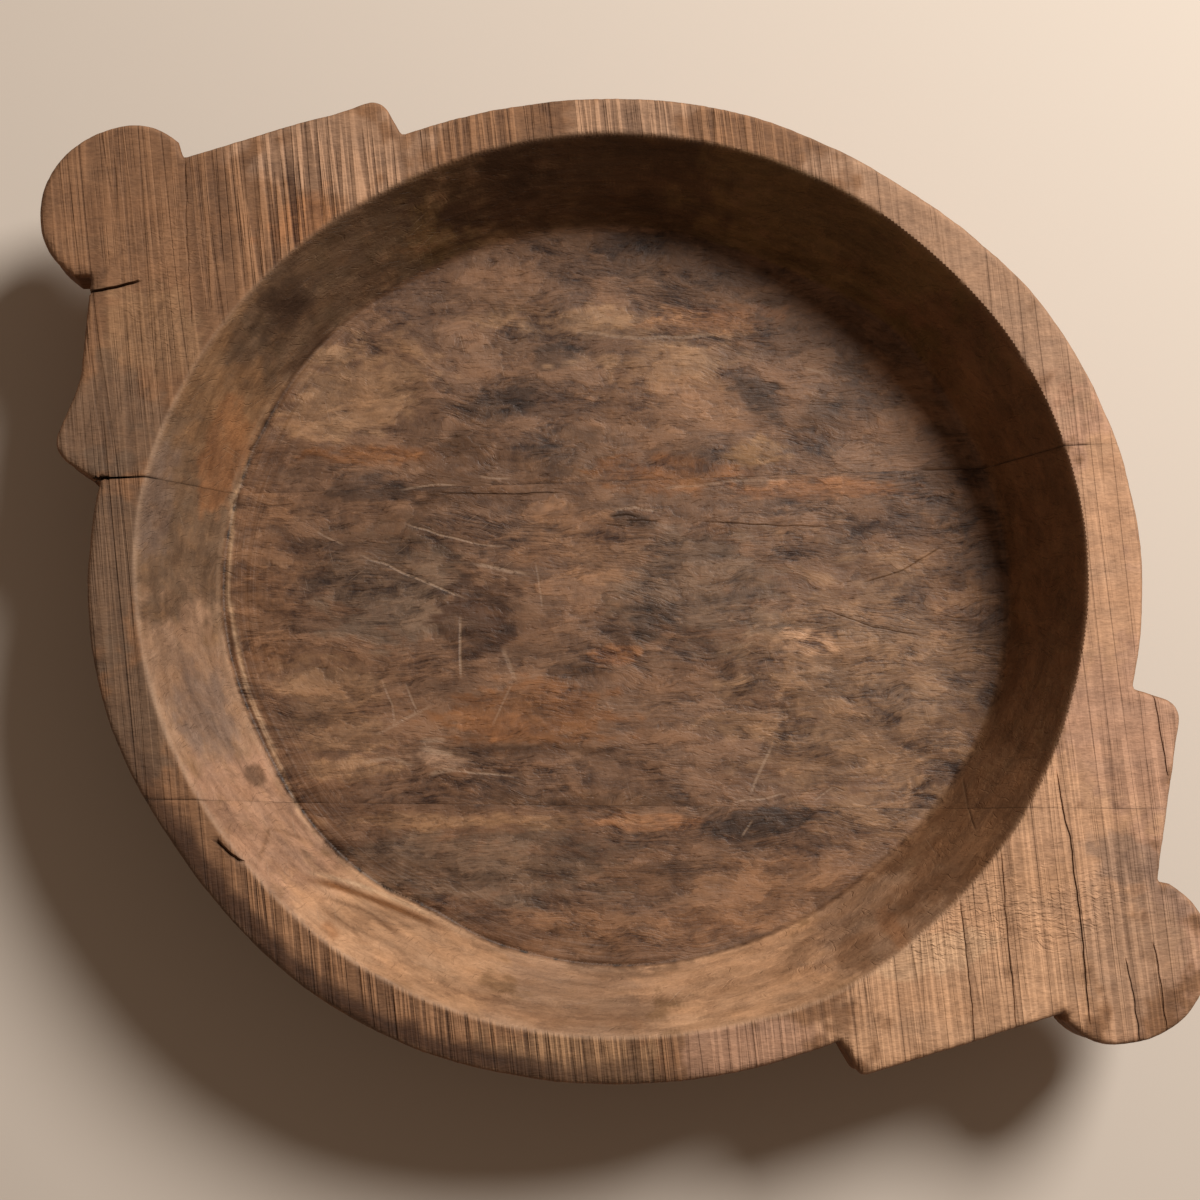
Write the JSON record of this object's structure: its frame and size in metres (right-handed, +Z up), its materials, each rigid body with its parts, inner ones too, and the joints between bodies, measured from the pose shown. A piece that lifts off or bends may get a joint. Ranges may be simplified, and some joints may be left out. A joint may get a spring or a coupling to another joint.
{
  "type": "dough bowl",
  "caption": "Large shallow hand-carved wooden dough bowl with flat rim, sloping sides and a lobed handle at each end, built from edge-joined boards with hidden dowels.",
  "frame": {"origin": "middle of the flat base, at the surface that the bowl stands on", "axes": "+Z up out of the bowl; +X along the line of the two handles, towards the handle that two boards share; the grain and the seams lie 37 degrees anticlockwise from +X, seen from above"},
  "size_m": [0.682, 0.49, 0.095],
  "materials": {
    "rear_board_wood": "bare aged hardwood, saw-marked on top, scraped and darkened inside",
    "middle_board_wood": "bare aged hardwood, saw-marked on top, scraped and darkened inside",
    "front_board_wood": "bare aged hardwood, saw-marked on top, rubbed pale inside",
    "dowel_wood": "plain turned hardwood, glued in place"
  },
  "bodies": {
    "root": {"rear_board": "rear_board_wood", "middle_board": "middle_board_wood", "front_board": "front_board_wood", "rear_seam_dowel_1": "dowel_wood", "rear_seam_dowel_2": "dowel_wood", "rear_seam_dowel_3": "dowel_wood", "rear_seam_dowel_4": "dowel_wood", "front_seam_dowel_1": "dowel_wood", "front_seam_dowel_2": "dowel_wood", "front_seam_dowel_3": "dowel_wood", "front_seam_dowel_4": "dowel_wood"}
  },
  "joints": []
}
